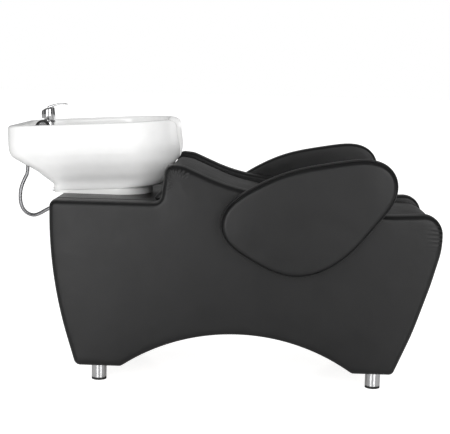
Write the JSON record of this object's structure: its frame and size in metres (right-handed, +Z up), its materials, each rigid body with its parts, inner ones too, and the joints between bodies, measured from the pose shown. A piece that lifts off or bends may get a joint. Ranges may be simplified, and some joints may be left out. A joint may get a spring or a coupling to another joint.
{
  "type": "hair washing bed",
  "caption": "Upholstered salon backwash bed with egg-shaped armrests, tilting white ceramic basin, lever mixer, hand shower and short chrome feet.",
  "frame": {"origin": "on the floor under the middle of the unit's box", "axes": "+X from the basin towards the knees, +Z up, Y across, -Y is the client's right"},
  "size_m": [1.4134, 0.73, 0.866],
  "materials": {
    "leatherette": "black satin leatherette over foam",
    "timber": "raw pine",
    "plywood": "raw birch plywood",
    "ceramic": "gloss white glaze",
    "plinth_white": "gloss white",
    "chrome": "polished chrome",
    "hose_steel": "interlocked chromed strip",
    "black_plastic": "black gloss",
    "rubber": "matt black",
    "zinc_steel": "zinc plated",
    "brass": "plain brass"
  },
  "bodies": {
    "bed": {"back_board": "plywood", "back_cushion": "leatherette", "basin_plinth": "plinth_white", "foot_plugs": "zinc_steel", "foot_set_screws": "zinc_steel", "hinge_fixed_leaf": "zinc_steel", "hinge_pin": "zinc_steel", "hose_inlet": "black_plastic", "hose_loop": "hose_steel", "knee_left_foot": "chrome", "knee_left_glide": "rubber", "knee_panel": "leatherette", "knee_right_foot": "chrome", "knee_right_glide": "rubber", "knee_stretcher": "timber", "left_armrest_board": "plywood", "left_armrest_bolts": "zinc_steel", "left_armrest_pad": "leatherette", "left_armrest_spacers": "black_plastic", "left_back_batten": "timber", "left_seat_batten": "timber", "left_side_core": "timber", "left_side_pad": "leatherette", "platform_board": "plywood", "platform_cover": "leatherette", "plinth_screws": "zinc_steel", "rear_left_foot": "chrome", "rear_left_glide": "rubber", "rear_panel": "leatherette", "rear_right_foot": "chrome", "rear_right_glide": "rubber", "rear_stretcher": "timber", "right_armrest_board": "plywood", "right_armrest_bolts": "zinc_steel", "right_armrest_pad": "leatherette", "right_armrest_spacers": "black_plastic", "right_back_batten": "timber", "right_seat_batten": "timber", "right_side_core": "timber", "right_side_pad": "leatherette", "seat_board": "plywood", "seat_cushion": "leatherette"},
    "basin": {"basin_bowl": "ceramic", "hinge_basin_leaf": "zinc_steel", "waste_flange": "chrome", "waste_seal": "rubber", "waste_nut": "brass", "mixer_base_ring": "chrome", "mixer_body": "chrome", "mixer_nut": "brass", "mixer_tails": "brass", "shower_socket": "chrome", "hose_riser": "hose_steel"},
    "strainer": {"strainer": "chrome"},
    "mixer_turner": {"mixer_collar": "chrome"},
    "mixer_handle": {"mixer_lever": "chrome"},
    "hand_shower": {"hand_shower_handle": "chrome", "hand_shower_head": "black_plastic", "spray_face": "chrome", "hose_nut": "chrome"}
  },
  "joints": [
    {"name": "basin_tilt", "type": "hinge", "parent": "bed", "child": "basin", "pos_m": [-0.57749, 0, 0.59693], "axis": [0, -1, 0], "range_deg": [0, 10], "deforming": ["hose_loop"]},
    {"name": "mixer_turn", "type": "hinge", "parent": "basin", "child": "mixer_turner", "pos_m": [-0.60638, 0, 0.82865], "axis": [-0.0576, 0, 0.9983], "range_deg": [-45, 45]},
    {"name": "mixer_lift", "type": "hinge", "parent": "mixer_turner", "child": "mixer_handle", "pos_m": [-0.60704, 0, 0.84013], "axis": [0, -1, 0], "range_deg": [0, 20]},
    {"name": "shower_pull", "type": "slide", "parent": "basin", "child": "hand_shower", "axis": [-0.0576, 0, 0.9983], "range_m": [0, 0.15], "deforming": ["hose_riser"]},
    {"name": "strainer_lift", "type": "slide", "parent": "basin", "child": "strainer", "axis": [-0.0576, 0, 0.9983], "range_m": [0, 0.05]}
  ]
}
